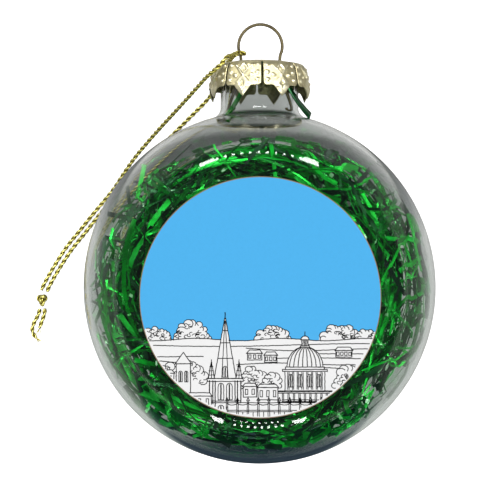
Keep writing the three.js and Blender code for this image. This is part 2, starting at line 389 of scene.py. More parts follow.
def board_material():
    """The printed disc's own body: fine brown board."""
    material, tree, shader = new_material("disc_board", roughness=0.7)
    fibres = noise(tree, 3500, 5, (1, 1, 3))
    tone = ramp(tree, fibres, [(0.3, (0.22, 0.14, 0.08)), (0.7, (0.42, 0.3, 0.19))])
    feed(tree, shader, {"Base Color": tone})
    bump(tree, shader, fibres, 0.4, 0.05)
    return material


def tape_material():
    """Milky double-sided tape."""
    patches = (900, 3, (0.62, 0.62, 0.57), (0.78, 0.77, 0.72))
    return mottled_material("clear_tape", patches, (1500, 3, 0.2, 0.03))


# ---- camera

CAMERA_PLACE = (-2.17, 8.46, 369)
CAMERA_LENS = 108.04


def add_camera():
    data = bpy.data.cameras.new("camera")
    data.lens = CAMERA_LENS
    data.sensor_width = 36
    data.clip_start = 0.01
    data.clip_end = 20
    camera = bpy.data.objects.new("camera", data)
    camera.location = Vector(CAMERA_PLACE) * MM
    bpy.context.scene.collection.objects.link(camera)
    bpy.context.scene.camera = camera


add_camera()

# ---- cord

TURN_HEIGHT = 53.4
TURN_RADIUS = 1.125
STRAND_GAP = 0.3
TURN_X = RING_CENTRE[0] - math.sqrt(RING_RADIUS**2 - (RING_CENTRE[1] - TURN_HEIGHT) ** 2)
FRONT_ROUTE = [
    (TURN_X - STRAND_GAP, TURN_HEIGHT, HALF_THICKNESS + TURN_RADIUS),
    (-5.4, 53.25, 27.4), (-6.05, 52.6, 29.1), (-6.55, 52.15, 31.2), (-7.25, 51.65, 33.5),
    (-8, 50.6, 34.8), (-9.4, 49.3, 33.7), (-10.9, 48.3, 31.9), (-12.35, 47.3, 29.5),
    (-13.6, 46.2, 27.4), (-15.95, 44.1, 23.8), (-19.6, 40.85, 18.6), (-23.5, 37.3, 13.8),
    (-26.7, 34.2, 10.2), (-29.7, 31.05, 7.2), (-32.6, 27.4, 4.6), (-35.3, 23.6, 2.7),
    (-37.9, 20.5, 1.5), (-40.55, 17.45, 0.85), (-43.9, 13.3, 0.6), (-47.2, 9.2, 0.55),
    (-50.6, 3.9, 0.55), (-52.6, 0.3, 0.65), (-53.35, -1.4, 0.9),
]
BACK_ROUTE = [
    (TURN_X - STRAND_GAP, TURN_HEIGHT, HALF_THICKNESS - TURN_RADIUS),
    (-5.4, 53.3, 24.7), (-6.1, 53, 23.3), (-6.6, 52.7, 21.2), (-7.4, 52.35, 18.2),
    (-8.3, 51.6, 15), (-9.1, 50.4, 11.6), (-9.9, 49.1, 8), (-10.7, 47.8, 4.6),
    (-11.8, 46.3, 1.9), (-13.3, 44.6, 0.7), (-16.6, 41.3, 0.55), (-22, 35.9, 0.55),
    (-26.5, 31.1, 0.55), (-30.9, 26.4, 0.55), (-35.6, 21.4, 0.55), (-39.3, 16.9, 0.55),
    (-42.7, 12.6, 0.55), (-46, 8.45, 0.55), (-49.4, 3.2, 0.55), (-51.4, -0.4, 0.6),
    (-52, -1.8, 0.75),
]
LONG_TAIL = [
    (-53.75, -6, 0.6), (-54.2, -7.5, 0.55), (-55, -9, 0.5),
    (-55.6, -10.5, 0.5), (-55.5, -11.9, 0.5), (-54.6, -13.2, 0.5),
]
SHORT_TAIL = [(-52.5, -5.9, 0.6), (-52.7, -7.4, 0.55), (-53.3, -9.1, 0.5), (-53.9, -10.7, 0.5)]
KNOT_CENTRE = (-53.1, -3.7, 1.3)
PLIES = 2
PLY_RADIUS = 0.32
PLY_REACH = 0.22
PLY_SIDES = 10
PLY_STEP = 0.22
LAY_LENGTH = 3.1
FRAY_COUNT = 7


def add_plies(shape, route):
    """Twists the plies round the route."""
    route = evenly(route, PLY_STEP)
    ahead, side, up = frames_along(route)
    section = circle(PLY_SIDES)
    # Mark 1 on the outer crown of each ply and 0 where the plies touch: painted highlight and painted shade.
    crown = np.tile(0.5 + 0.5 * section[:, 0], len(route))
    for ply in range(PLIES):
        angle = 2 * math.pi * (travelled(route) / LAY_LENGTH + ply / PLIES)
        outward = np.cos(angle)[:, None] * side + np.sin(angle)[:, None] * up
        over = np.cross(ahead, outward)
        shape.sweep(route + PLY_REACH * outward, PLY_RADIUS * section, outward, over, crown)


def add_fray(shape, end, heading, rng):
    """Loose threads that stand out of a cut end."""
    for _ in range(FRAY_COUNT):
        aside = Vector((rng.gauss(0, 0.35), rng.gauss(0, 0.35), rng.uniform(-0.1, 0.25)))
        tip = Vector(end) + Vector(heading) * rng.uniform(0.9, 1.6) + aside
        tip.z = max(tip.z, 0.15)
        middle = (Vector(end) + tip) / 2 + aside * 0.3
        route = catmull_rom([end, middle, tip], 5)
        shape.tube(route, 0.06, 5, rng.uniform(0.4, 1))


def overhand_knot():
    """A tightened overhand knot, whose middle line is a small trefoil lying on its side."""
    turn = np.linspace(0, 2 * math.pi, 90)
    across = (np.sin(turn) + 2 * np.sin(2 * turn)) / 3
    along = (np.cos(turn) - 2 * np.cos(2 * turn)) / 3
    lift = -np.sin(3 * turn)
    return np.stack([0.85 * across, 1.3 * along, 0.62 * lift], axis=1) + np.array(KNOT_CENTRE)


def cord_piece(name, route, fray_seed=None):
    """One part of the cord. Its far end is frayed where a seed is given."""
    shape = Shape()
    add_plies(shape, route)
    if fray_seed:
        add_fray(shape, route[-1], unit(route[-1] - route[-4]), random.Random(fray_seed))
    return make_piece(name, shape, GOLD_THREAD, "hanger", [name.replace("gold_", "")])


def cord_turn_route():
    """Half round the wire of the ring, from the back strand to the front one."""
    angles = np.linspace(-math.pi / 2, math.pi / 2, 17)
    x = TURN_X + TURN_RADIUS * np.cos(angles)
    z = HALF_THICKNESS + TURN_RADIUS * np.sin(angles)
    return np.stack([x, np.full_like(x, TURN_HEIGHT), z], axis=1)


def add_cord():
    turn = cord_piece("gold_cord_turn", cord_turn_route())
    knot = cord_piece("gold_cord_knot", overhand_knot())
    long_tail = cord_piece("gold_cord_tail_long", catmull_rom(LONG_TAIL), 3)
    short_tail = cord_piece("gold_cord_tail_short", catmull_rom(SHORT_TAIL), 5)
    for side, points, others in (
        ("front", FRONT_ROUTE, [turn, knot, long_tail, short_tail]),
        ("back", BACK_ROUTE, []),
    ):
        route = catmull_rom(points)
        strand = cord_piece(f"gold_cord_{side}_strand", route)


GOLD_THREAD = gold_thread_material()
add_cord()

# ---- glass


def ball_surface(directions, inset=0.0):
    """Where rays from the ball's middle meet its skin, and the skin's outward direction there."""
    flat_way = np.hypot(directions[:, 0], directions[:, 1])
    rise = np.abs(directions[:, 2])
    fillet = RIM_FILLET - inset
    distance = np.full(len(directions), BALL_RADIUS - float(inset))
    normal = directions.copy()
    past_rim = rise * RIM_REACH > flat_way * RIM_HEIGHT
    toward = RIM_REACH * flat_way + RIM_HEIGHT * rise
    within = np.maximum(toward**2 - RIM_REACH**2 - RIM_HEIGHT**2 + fillet**2, 0)
    distance[past_rim] = (toward + np.sqrt(within))[past_rim]
    points = directions * distance[:, None]
    outward = unit(np.where(flat_way[:, None] > 1e-9, directions * [1, 1, 0], [1, 0, 0]))
    centre = outward * RIM_REACH
    centre[:, 2] = np.sign(directions[:, 2]) * RIM_HEIGHT
    normal[past_rim] = unit(points - centre)[past_rim]
    on_flat = (flat_way * (HALF_THICKNESS - inset) < rise * RIM_REACH) & past_rim
    flat = (HALF_THICKNESS - inset) / np.maximum(rise, 1e-9)
    points[on_flat] = directions[on_flat] * flat[on_flat, None]
    normal[on_flat] = np.sign(directions[on_flat]) * [0, 0, 1]
    return points, normal


def neck_profile():
    """(radius, height, outward radius, outward height) down the outside of the neck, to the ball."""
    fillet_radius = NECK_RADIUS + NECK_FILLET
    fillet_height = math.sqrt((BALL_RADIUS + NECK_FILLET) ** 2 - fillet_radius**2)
    rows = [(NECK_RADIUS, y, 1.0, 0.0) for y in np.linspace(LIP_TOP - WALL / 2, fillet_height, 14)]
    last = math.pi + math.atan2(fillet_height, fillet_radius)
    for angle in np.linspace(math.pi, last, 15)[1:]:
        c, s = math.cos(angle), math.sin(angle)
        rows.append((fillet_radius + NECK_FILLET * c, fillet_height + NECK_FILLET * s, -c, -s))
    return rows


SIDES = 288
BALL_ROWS = 300


def ring_about_y(radius, height):
    """A circle about the neck's axis."""
    cosine, sine = circle(SIDES).T
    return np.stack([radius * sine, np.full(SIDES, height), radius * cosine], axis=1)


def glass_rows():
    """Inner skin, rounded lip and outer skin, as rows of (points, outward directions)."""
    outer = [(ring_about_y(*row[:2]), ring_about_y(*row[2:])) for row in neck_profile()]
    start = math.atan2(outer[-1][0][0][2], outer[-1][0][0][1])
    for tilt in np.linspace(start, math.pi, BALL_ROWS)[1:-1]:
        outer.append(ball_surface(ring_about_y(math.sin(tilt), math.cos(tilt))))
    lip = []
    half = WALL / 2
    for angle in np.linspace(math.pi, 0, 9)[1:-1]:
        c, s = math.cos(angle), math.sin(angle)
        points = ring_about_y(NECK_RADIUS - half + half * c, LIP_TOP - half + half * s)
        lip.append((points, ring_about_y(c, s)))
    inner = [(points - WALL * normal, -normal) for points, normal in reversed(outer)]
    return inner + lip + outer


def add_glass():
    rows = glass_rows()
    rings = [points + [0, 0, HALF_THICKNESS] for points, _ in rows]
    poles = [(0, WALL - BALL_RADIUS, HALF_THICKNESS), (0, -BALL_RADIUS, HALF_THICKNESS)]
    normals = np.concatenate([*[normal for _, normal in rows], [(0, 1, 0), (0, -1, 0)]])
    shape = closed_skin(rings, poles, True)
    piece = make_piece("glass_bauble", shape, glass_material(), "bulb", ["bulb_glass"])
    piece.data.normals_split_custom_set_from_vertices([tuple(n) for n in normals])


add_glass()

# ---- tinsel

LANES = ((23, 19), (28, 19), (28.5, 13), (33, 13), (29.5, 6.5), (35, 6.5))
STRIPS_PER_LANE = 3
STRANDS_IN_LANE = (170, 210, 150, 120, 110, 80)
FOIL_THICKNESS = 0.05
FULL_REACH = 36.5
GAP_DEPTH = 5.3
GAP_ANGLE = math.radians(98)
FOOT_DEPTH = 3.5
# Share of strips with a painted glint: a short crease at the mint-white end of the foil colours.
GLINT_SHARE = 0.3
ROUND_SHARE = 0.3
GLASS_CLEARANCE = WALL + 0.5
STRAYS = (
    # ends of a strand that lies alone in the clear glass, its width, its tone (partly painted shade and
    # highlight)
    ((-33.6, 16.4, 9), (-28.6, 15.4, 10), 1.1, 0.12),
    ((-25.2, 27, 11), (-26.8, 19.6, 13), 1.0, 0.7),
    ((-27.8, 23.4, 10), (-22.4, 22.8, 14), 0.6, 0.1),
    ((-29.4, 22.6, 8), (-28.5, 18.2, 12), 0.8, 0.15),
    ((-15, 31.6, 11), (-20.8, 26, 13), 0.5, 0.1),
    ((26, 28, 12), (33, 17, 8), 0.5, 0.1),
    ((33.5, 8, 9), (34.5, -4, 11), 0.8, 0.2),
)
NECK_STRAND = [(-3, 46.5, 32.1), (-4, 43.9, 31.3), (-5.2, 41.7, 30.4), (-6.3, 39.6, 29.6), (-7.4, 37.6, 29)]
LIP_STRAND = [(5.9, 46.4, 33.5), (6.9, 44.4, 32.9), (8.4, 42.2, 31.4), (9.9, 40.5, 29.6), (11.6, 38.9, 27.2)]


def hold_inside(route):
    """Moves points that would pierce the glass, or stray from the bed of tinsel, back inside."""
    flat_way = np.hypot(route[:, 0], route[:, 1])
    settled = np.array([outer_reach(math.atan2(y, x)) for x, y, _ in route]) + 1
    route = route * np.stack([np.minimum(1, settled / flat_way)] * 2 + [np.ones(len(route))], axis=1)
    reach = np.linalg.norm(route, axis=1)
    directions = route / np.maximum(reach[:, None], 1e-9)
    wall, _ = ball_surface(directions, GLASS_CLEARANCE)
    limit = np.linalg.norm(wall, axis=1)
    return directions * np.minimum(reach, limit)[:, None]


def outer_reach(angle):
    """How far out the tinsel lies: it has settled away from the neck, and a little from the foot."""
    gap = max(0.0, math.cos(angle - GAP_ANGLE)) ** 1.6
    foot = max(0.0, -math.sin(angle)) ** 4
    return FULL_REACH - GAP_DEPTH * gap - FOOT_DEPTH * foot


def strand_route(rng, radius, height):
    """One loose strand. Some run round the ball, and most are straighter and lie across the others."""
    start = rng.uniform(0, 2 * math.pi)
    radius = min(radius, outer_reach(start))
    if rng.random() < ROUND_SHARE:
        span, drift, climb = rng.uniform(0.3, 0.9), rng.uniform(-5, 5), rng.uniform(-4, 4)
        phase, sway = rng.uniform(0, 6.3), rng.uniform(0.1, 0.6)
        turn = np.linspace(0, 1, max(5, int(span * radius / 2.6)))
        out = radius + drift * (turn - 0.5) + sway * np.sin(phase + 5 * span * turn)
        lift = height + climb * (turn - 0.5) + sway * np.cos(2 * phase + 4 * span * turn)
        angle = start + span * turn
        return hold_inside(np.stack([out * np.cos(angle), out * np.sin(angle), lift], axis=1))
    up = np.array([0, 0, 1.0])
    outward = np.array([math.cos(start), math.sin(start), 0.0])
    lean, rise = rng.gauss(0, 0.8), rng.gauss(0, 0.28)
    heading = math.cos(lean) * np.cross(up, outward) + math.sin(lean) * outward + rise * up
    bow = rng.uniform(-1.5, 1.5) * outward + rng.uniform(-1.5, 1.5) * up
    length = rng.uniform(8, 26)
    place = np.linspace(-0.5, 0.5, max(4, int(length / 3)))[:, None]
    route = radius * outward + height * up + length * place * unit(heading)
    return hold_inside(route + (0.25 - place**2) * 4 * bow)


def add_ribbon(shape, route, width, twist, start, mark, thickness=FOIL_THICKNESS):
    """A flat strip along the route that turns about it. The mark is one number, or one a point."""
    _, side, up = frames_along(route)
    angle = (start + twist * travelled(route))[:, None]
    across = np.cos(angle) * side + np.sin(angle) * up
    through = np.cos(angle) * up - np.sin(angle) * side
    half, thin = width / 2, thickness / 2
    section = np.array([(-half, -thin), (half, -thin), (half, thin), (-half, thin)])
    shape.sweep(route, section, across, through, np.repeat(np.broadcast_to(mark, len(route)), 4))


def add_strand(shape, rng, route):
    """A strip whose tone, partly painted shade and highlight, changes along it. A few carry a short crease
    painted with a mint-white glint.
    """
    width = rng.choice((0.4, 0.5, 0.7, 0.9, 1.1))
    twist, start = rng.uniform(-0.05, 0.05), rng.uniform(0, 3.1)
    # A random tone per strip, which also paints in how much light the strip seems to catch.
    tone = 0.88 * rng.random()
    marks = np.clip([tone + rng.gauss(0, 0.09) for _ in route], 0, 0.88)
    add_ribbon(shape, route, width, twist, start, marks)
    # A short, thicker piece near mark 1 is a painted glint.
    if rng.random() < GLINT_SHARE:
        place = rng.randrange(len(route) - 1)
        here, ahead = route[place], unit(route[place + 1] - route[place])
        glint_route = here + np.outer((0, 0.5, 1), ahead) * rng.uniform(0.4, 1.1)
        begin = start + twist * travelled(route)[place]
        add_ribbon(shape, glint_route, width * 1.05, twist, begin, rng.uniform(0.93, 1), 2 * FOIL_THICKNESS)


def add_tinsel(material):
    """Six tangles below the middle of the bauble and six above it."""
    for tangle in range(2 * len(LANES)):
        lane = tangle % len(LANES)
        side = -1 if tangle == lane else 1
        radius, height = LANES[lane]
        rng = random.Random(100 + 10 * lane + side)
        shape = Shape()
        for _ in range(STRANDS_IN_LANE[lane]):
            middle = side * (height + rng.gauss(0, 0.2 * (HALF_THICKNESS - height)))
            add_strand(shape, rng, strand_route(rng, radius + rng.gauss(0, 1.4), middle))
        if tangle == 2 * len(LANES) - 1:
            for start, end, width, tone in STRAYS:
                add_ribbon(shape, np.linspace(start, end, 4), width, 0.03, 0.2, tone)
        shape.points = [(x, y, z + HALF_THICKNESS) for x, y, z in shape.points]
        first = STRIPS_PER_LANE * tangle + 1
        strips = [f"tinsel_strip_{number:02d}" for number in range(first, first + STRIPS_PER_LANE)]
        name = f"tinsel_lane_{tangle + 1:02d}"
        make_piece(name, shape, material, "bulb", strips, smooth=False)


def add_neck_strands(material):
    """One strand stands up into the neck, and one is caught over its lip."""
    # Each strand's mark is its tone on the foil colours, partly painted shade and highlight.
    for name, points, width, mark in (("neck", NECK_STRAND, 1.4, 0.5), ("lip", LIP_STRAND, 1.8, 0.15)):
        shape = Shape()
        add_ribbon(shape, evenly(catmull_rom(points), 0.5), width, 0.03, 0.5, mark)
        nodes = [f"tinsel_{name}_strand"]
        make_piece(f"foil_{name}_strand", shape, material, "bulb", nodes)


foil = foil_material()
add_tinsel(foil)
add_neck_strands(foil)

# ---- printed disc

INK = 0.015
PRINT_RADIUS = 25.3
DISC_SIDES = 256
EASE = 0.15
COLUMNS = PRINT_RADIUS * np.sin(np.linspace(-math.pi / 2, math.pi / 2, 700))
LINE = 0.19
PEN_STEP = 0.5
PEN_SHAKE = 0.035
HORIZON = -8.9


def inside(points, outline):
    """Which of the points lie inside the closed outline."""
    x, y = points[:, 0], points[:, 1]
    found = np.zeros(len(points), bool)
    for (ax, ay), (bx, by) in zip(outline, [*outline[1:], outline[0]]):
        if ay != by:
            crosses = (ay > y) != (by > y)
            found ^= crosses & (x < ax + (y - ay) * (bx - ax) / (by - ay))
    return found


class Sketch:
    """A pen drawing. A white shape hides the lines drawn before it, and stands up against the sky."""

    def __init__(self):
        self.rng = random.Random(5)
        self.strokes = np.zeros((0, 5))
        self.skyline = np.full(len(COLUMNS), -PRINT_RADIUS)

    def fill(self, outline):
        middles = (self.strokes[:, 0:2] + self.strokes[:, 2:4]) / 2
        self.strokes = self.strokes[~inside(middles, outline)]
        for start, end in zip(outline, [*outline[1:], outline[0]]):
            (ax, ay), (bx, by) = sorted((start, end))
            if bx > ax:
                under = (COLUMNS >= ax) & (COLUMNS <= bx)
                height = ay + (by - ay) * (COLUMNS[under] - ax) / (bx - ax)
                self.skyline[under] = np.maximum(self.skyline[under], height)

    def line(self, points, weight=1):
        """A pen line that wavers a little."""
        given = np.array(points, float)
        along = travelled(given)
        places = np.union1d(along, np.linspace(0, along[-1], int(along[-1] / PEN_STEP) + 2))
        route = np.stack([np.interp(places, along, given[:, axis]) for axis in (0, 1)], axis=1)
        route += [[self.rng.uniform(-PEN_SHAKE, PEN_SHAKE) for _ in (0, 1)] for _ in route]
        rows = [(*a, *b, LINE * weight) for a, b in zip(route, route[1:])]
        self.strokes = np.concatenate([self.strokes, rows])

    def upright(self, x, low, high, weight=1):
        self.line([(x, low), (x, high)], weight)

    def level(self, x, y, wide, weight=1):
        self.line([(x - wide / 2, y), (x + wide / 2, y)], weight)

    def shape(self, outline, weight=1):
        """A white shape with a line round it."""
        self.fill(outline)
        self.line([*outline, outline[0]], weight)

    def block(self, x, y, wide, tall):
        self.shape(box(x, y, wide, tall))

    def gable(self, x, y, wide, tall):
        self.shape([(x - wide / 2, y), (x + wide / 2, y), (x, y + tall)])

    def ink(self):
        """A flat bar for each stroke on the disc, run on a little at both ends to close the corners."""
        shape = Shape()
        for ax, ay, bx, by, width in self.strokes:
            length = math.hypot(bx - ax, by - ay)
            if length < 0.01 or max(math.hypot(ax, ay), math.hypot(bx, by)) > PRINT_RADIUS - width:
                continue
            tx, ty = (bx - ax) / length * width / 2, (by - ay) / length * width / 2
            ax, ay, bx, by = ax - 0.7 * tx, ay - 0.7 * ty, bx + 0.7 * tx, by + 0.7 * ty
            corners = [(ax + ty, ay - tx), (bx + ty, by - tx), (bx - ty, by + tx), (ax - ty, ay + tx)]
            low = DISC_TOP + INK / 2
            shape.prism([(x, y + DISC_CENTRE_Y) for x, y in corners], low, low + INK)
        return shape

    def paper(self, above):
        """The printed circle above the skyline, or below it."""
        edge = np.sqrt(np.maximum(PRINT_RADIUS**2 - COLUMNS**2, 0))
        top = np.clip(self.skyline, -edge, edge)
        low, high = (top, edge) if above else (-edge, top)
        tall = high - low > 0.02
        lower = list(zip(COLUMNS[tall], low[tall] + DISC_CENTRE_Y))
        upper = list(zip(COLUMNS[tall], high[tall] + DISC_CENTRE_Y))
        shape = Shape()
        shape.prism([*lower, *reversed(upper)], DISC_TOP - INK, DISC_TOP + INK)
        return shape


def ellipse(x, y, across, tall, start=0.0, end=360.0, steps=16):
    angles = [math.radians(start + (end - start) * i / steps) for i in range(steps + 1)]
    return [(x + across * math.cos(a), y + tall * math.sin(a)) for a in angles]


def box(x, y, wide, tall):
    """Corners of a box that stands on the middle of its base."""
    return [(x - wide / 2, y), (x + wide / 2, y), (x + wide / 2, y + tall), (x - wide / 2, y + tall)]


def bays(x, wide, count):
    """Middles of equal parts of a width."""
    return [x - wide / 2 + wide * (i + 0.5) / count for i in range(count)]


def leafy_clump(pen, rng, x, base, wide, tall):
    """A leafy clump: tufts about a crown, and curls inside it."""
    tufts = max(6, int(wide * 1.8))
    for tuft in range(tufts):
        angle = math.pi * (tuft + 0.5) / tufts
        size = rng.uniform(0.7, 1.3) * min(0.2 * tall, 1.3 * wide / tufts)
        reach = rng.uniform(0.84, 1.12)
        middle_x = x + wide * 0.4 * reach * math.cos(angle)
        middle_y = base + tall * 0.76 * reach * math.sin(angle)
        pen.shape(ellipse(middle_x, middle_y, size * 1.15, size, steps=10), 0.9)
    pen.fill(ellipse(x, base, wide * 0.4, tall * 0.74, 0, 180, 16))
    for _ in range(int(wide * tall / 1.6)):
        angle = math.radians(rng.uniform(5, 175))
        share = rng.uniform(0.35, 0.95)
        curl_x = x + wide * 0.4 * share * math.cos(angle)
        curl_y = base + tall * 0.75 * share * math.sin(angle)
        start = rng.uniform(0, 120)
        pen.line(ellipse(curl_x, curl_y, 0.4, 0.3, start, start + rng.uniform(150, 260), 6), 0.8)


def windows(pen, x, y, wide, count, size, tall):
    """A row of arched windows, each with a bar up its middle."""
    for place in bays(x, wide, count):
        arch = ellipse(place, y + tall - size / 2, size / 2, size * 0.6, 0, 180, 6)
        pen.line([(place + size / 2, y), *arch, (place - size / 2, y), (place + size / 2, y)], 0.9)
        pen.upright(place, y + 0.1, y + tall - 0.2, 1.5)


def columns(pen, x, y, wide, count, tall):
    """Pairs of upright lines under a band."""
    for place in bays(x, wide, count):
        for aside in (-0.14, 0.14):
            pen.upright(place + aside, y, y + tall, 0.9)


def bands(pen, x, y, wide, count, gap):
    """Level lines one above another."""
    for i in range(count):
        pen.level(x, y + gap * i, wide)


def dome(pen, x, base):
    """A ribbed dome on a drum with columns, with a lantern on top."""
    pen.block(x, base - 7.2, 11.4, 2.4)
    bands(pen, x, base - 5.3, 11.4, 2, 0.3)
    columns(pen, x, base - 7.2, 10.4, 9, 1.9)
    pen.block(x, base - 4.8, 8.4, 4.4)
    columns(pen, x, base - 4.5, 8, 8, 3.6)
    windows(pen, x, base - 4.0, 8, 4, 0.8, 2.6)
    pen.block(x, base - 0.7, 9.4, 0.4)
    pen.block(x, base - 0.3, 8.2, 0.5)
    pen.shape(ellipse(x, base + 0.2, 3.8, 4.3, 0, 180, 28))
    for lean in (-0.86, -0.62, -0.38, -0.13, 0.13, 0.38, 0.62, 0.86):
        pen.line(ellipse(x, base + 0.2, 3.8 * lean, 4.3, 0, 84, 12))
    top = base + 4.3
    pen.block(x, top, 1.9, 0.35)
    pen.block(x, top + 0.35, 1.3, 1.3)
    columns(pen, x, top + 0.4, 1.0, 2, 1.1)
    pen.shape(ellipse(x, top + 1.65, 0.85, 0.8, 0, 180, 10))
    pen.upright(x, top + 2.4, top + 3.3)


def pinnacle(pen, x, base, wide, tall):
    pen.gable(x, base, wide, tall)
    pen.upright(x, base, base + tall + 0.4, 0.9)
    for share in (0.2, 0.45, 0.7):
        pen.level(x, base + tall * share, wide * (1 - share) + 0.3, 0.8)


def spire(pen, x, base):
    """A spire on a square tower, with a pinnacle at each side of it."""
    pen.block(x, base - 9, 6.6, 9)
    for place in (-3.3, -2.6, -2.1, 2.1, 2.6, 3.3):
        pen.upright(x + place, base - 9, base + 0.3, 1.2)
    windows(pen, x, base - 4.2, 3.6, 2, 1.2, 3.4)
    windows(pen, x, base - 8.6, 3.6, 2, 1.2, 3.2)
    bands(pen, x, base - 4.8, 6.6, 2, 0.35)
    pen.block(x, base - 0.3, 7.6, 0.6)
    for place in (-2.9, 2.9):
        pinnacle(pen, x + place, base + 0.3, 1.3, 3.6)
    low, high = base + 0.3, base + 13
    pen.shape([(x - 2.3, low), (x + 2.3, low), (x + 0.12, high), (x - 0.12, high)])
    for place in (-0.7, 0.6):
        pen.line([(x + place, low), (x + place * 0.1, base + 12.4)], 0.9)
    pen.upright(x, high, base + 14.2, 1.2)
    for share in (0.35, 0.6, 0.8):
        pen.level(x, base + 13 * share, 2 * (2.3 * (1 - share) + 0.12 * share))
    windows(pen, x, base + 0.6, 1.6, 1, 0.9, 2.2)


def house(pen, x, base, wide, tall, openings, floors=1):
    """A plain block with a low roof and rows of small windows."""
    pen.block(x, base, wide, tall)
    eaves, top = box(x, base + tall, wide + 0.4, 0)[:2], base + tall + 0.7
    pen.shape([*eaves, (x + wide / 2 - 0.4, top), (x - wide / 2 + 0.4, top)])
    step = tall / floors
    for row in range(floors):
        low = base + step * (row + 0.25)
        for place in bays(x, wide, openings):
            pen.line([*box(place, low, 0.5, step * 0.5), (place - 0.25, low)], 0.9)


def railing(pen, x, base, wide, tall, posts):
    """A run of double posts with rails and hung loops between them."""
    top = base + tall
    pen.fill(box(x, base, wide, tall))
    for share in (0, 0.14, 0.5, 0.58, 1):
        pen.level(x, base + tall * share, wide, 0.9)
    for i in range(posts + 1):
        post = x - wide / 2 + wide / posts * i
        for aside in (-0.2, 0.2):
            pen.line([(post + aside, base), (post + aside * 0.6, top + 0.5)], 0.9)
        pen.line([(post - 0.3, top + 0.4), (post, top + 1.1), (post + 0.3, top + 0.4)])
    for middle in bays(x, wide, posts):
        pen.line(ellipse(middle, top, wide / posts / 2, 0.5, 180, 360, 8), 0.9)
        pen.upright(middle, base, base + tall * 0.5, 0.9)


def draw_fields(pen, rng):
    """Low hills, with trees along the top."""
    edge = [(x, HORIZON + 0.25 * math.sin(0.35 * x)) for x in np.linspace(-26, 26, 60)]
    foot = [(-26, -27), (26, -27)]
    pen.fill([*foot, *reversed(edge)])
    trees = ((-21.8, 7, 3), (-14.4, 8.4, 4.4), (2.6, 7.4, 3.2), (16.8, 8, 3.6), (22.4, 5.5, 2.4))
    for x, wide, tall in trees:
        leafy_clump(pen, rng, x, HORIZON - 0.2, wide, tall)
    pen.fill([*foot, *reversed([(x, y - 0.05) for x, y in edge])])
    pen.line(edge)
    hills = ((-10.0, -26, 26), (-10.7, -3, 26), (-12.3, -26, -12), (-12.9, 2, 26), (-14.2, -5, 20),
             (-15.6, -25, -14), (-11.8, 9, 26), (-15.2, 10, 25), (-13.7, -26, -16))
    for y, left, right in hills:
        bulge, slope = rng.uniform(-0.4, 0.5), rng.uniform(-0.6, 0.7)
        places = np.linspace(0, 1, 24)
        pen.line([(left + (right - left) * t, y + slope * t + bulge * math.sin(5 * t)) for t in places])


def draw_town():
    """Hills, then houses and trees, a dome and a spire, and a railing in front."""
    rng = random.Random(7)
    pen = Sketch()
    draw_fields(pen, rng)
    for place in ((-1.2, -13.2, 3.0, 1.4, 3), (2.2, -13.7, 2.6, 1.5, 3), (17.6, -12.6, 3.4, 1.4, 4)):
        house(pen, *place)
    for place in ((18.4, -19.2, 6.5, 5.2), (-1.6, -19.0, 6.5, 4.8), (2.4, -19.2, 4.4, 3.4),
                  (-14.6, -18.0, 7.0, 4.8), (-19.8, -17.6, 5.2, 3.8)):
        leafy_clump(pen, rng, *place)
    house(pen, -20.4, -20.6, 4.4, 4.6, 3, 2)
    pen.block(-16.2, -21, 3.0, 7.0)
    windows(pen, -16.2, -17.8, 2.4, 2, 0.7, 2.2)
    pen.gable(-16.2, -14, 3.4, 2.4)
    house(pen, 20.6, -20.4, 3.6, 2.8, 2)
    dome(pen, 9.4, -14.9)
    house(pen, 1.6, -21.6, 4.2, 2.6, 3)
    house(pen, -2.2, -21.0, 2.8, 2.2, 2)
    spire(pen, -7.4, -17.4)
    house(pen, -13.6, -25.4, 6.6, 4.6, 4, 2)
    bands(pen, 11.6, -21.6, 14, 3, -0.35)
    railing(pen, 4.0, -26, 22.0, 3.8, 10)
    return pen


def disc_board():
    """A thin round board with eased edges."""
    centre = np.array([0, DISC_CENTRE_Y, 0])
    turn = circle(DISC_SIDES) @ [[1, 0, 0], [0, 1, 0]]
    base = DISC_TOP - DISC_THICKNESS
    profile = ((DISC_RADIUS - 0.2, base), (DISC_RADIUS, base + EASE),
               (DISC_RADIUS, DISC_TOP - EASE), (DISC_RADIUS - EASE, DISC_TOP))
    rings = [centre + radius * turn + [0, 0, height] for radius, height in profile]
    return closed_skin(rings, [centre + [0, 0, base], centre + [0, 0, DISC_TOP]])


def add_disc():
    """The board, with blue sky and white paper printed on it and black lines over them."""
    sketch = draw_town()
    for name, shape, material, replaced in (
        ("disc_board", disc_board(), board_material(), ["front_disc"]),
        ("print_sky", sketch.paper(True), ink_material("ink_sky_blue", (0.072, 0.47, 0.9), 0.35), ()),
        ("print_paper", sketch.paper(False), ink_material("ink_white", (0.9, 0.9, 0.9), 0.4), ()),
        ("print_lines", sketch.ink(), ink_material("ink_black", (0.012, 0.012, 0.014), 0.4), ()),
    ):
        make_piece(name, shape, material, "bulb", replaced, smooth=False)


add_disc()
frame["nodes"]["disc_adhesive"].data.materials.clear()
frame["nodes"]["disc_adhesive"].data.materials.append(tape_material())

# ---- cap

